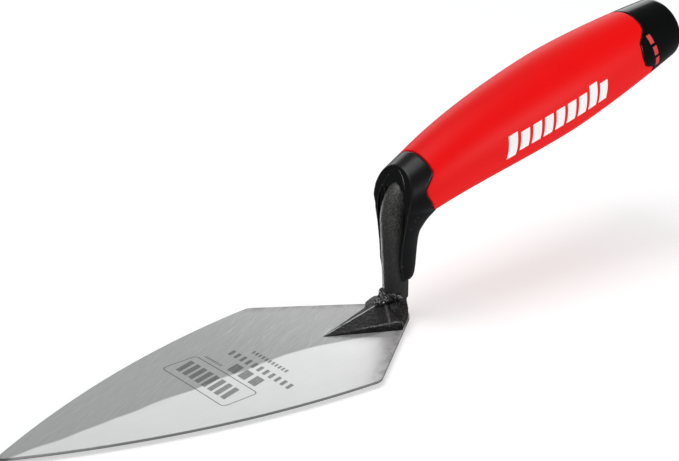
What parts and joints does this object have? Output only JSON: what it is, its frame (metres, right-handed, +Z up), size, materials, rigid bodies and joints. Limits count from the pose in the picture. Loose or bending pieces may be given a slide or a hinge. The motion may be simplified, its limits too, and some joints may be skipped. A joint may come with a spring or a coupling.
{
  "type": "pointing trowel",
  "caption": "Kite-shaped steel pointing trowel blade on a forged foot and bent round shank, with a black and red two-part soft handle and finger guard.",
  "frame": {"origin": "on the blade's flat underside, directly below the shank", "axes": "+X along the trowel from the blade's tip towards the handle's butt, +Z up out of the blade's top face, -Y the side with the foot's wide flange"},
  "size_m": [0.287, 0.0696, 0.0905],
  "materials": {
    "blade_steel": "ground and brushed",
    "black_forging": "rough forged, black lacquer",
    "black_plastic": "satin",
    "red_grip": "smooth satin soft grip",
    "red_inlay": "satin"
  },
  "bodies": {
    "root": {"blade": "blade_steel", "foot": "black_forging", "shank": "black_forging", "shank_weld": "black_forging", "handle_core": "black_plastic", "front_bolster": "black_plastic", "grip_sleeve": "red_grip", "butt_cap": "black_plastic", "cap_inlays": "red_inlay"}
  },
  "joints": []
}
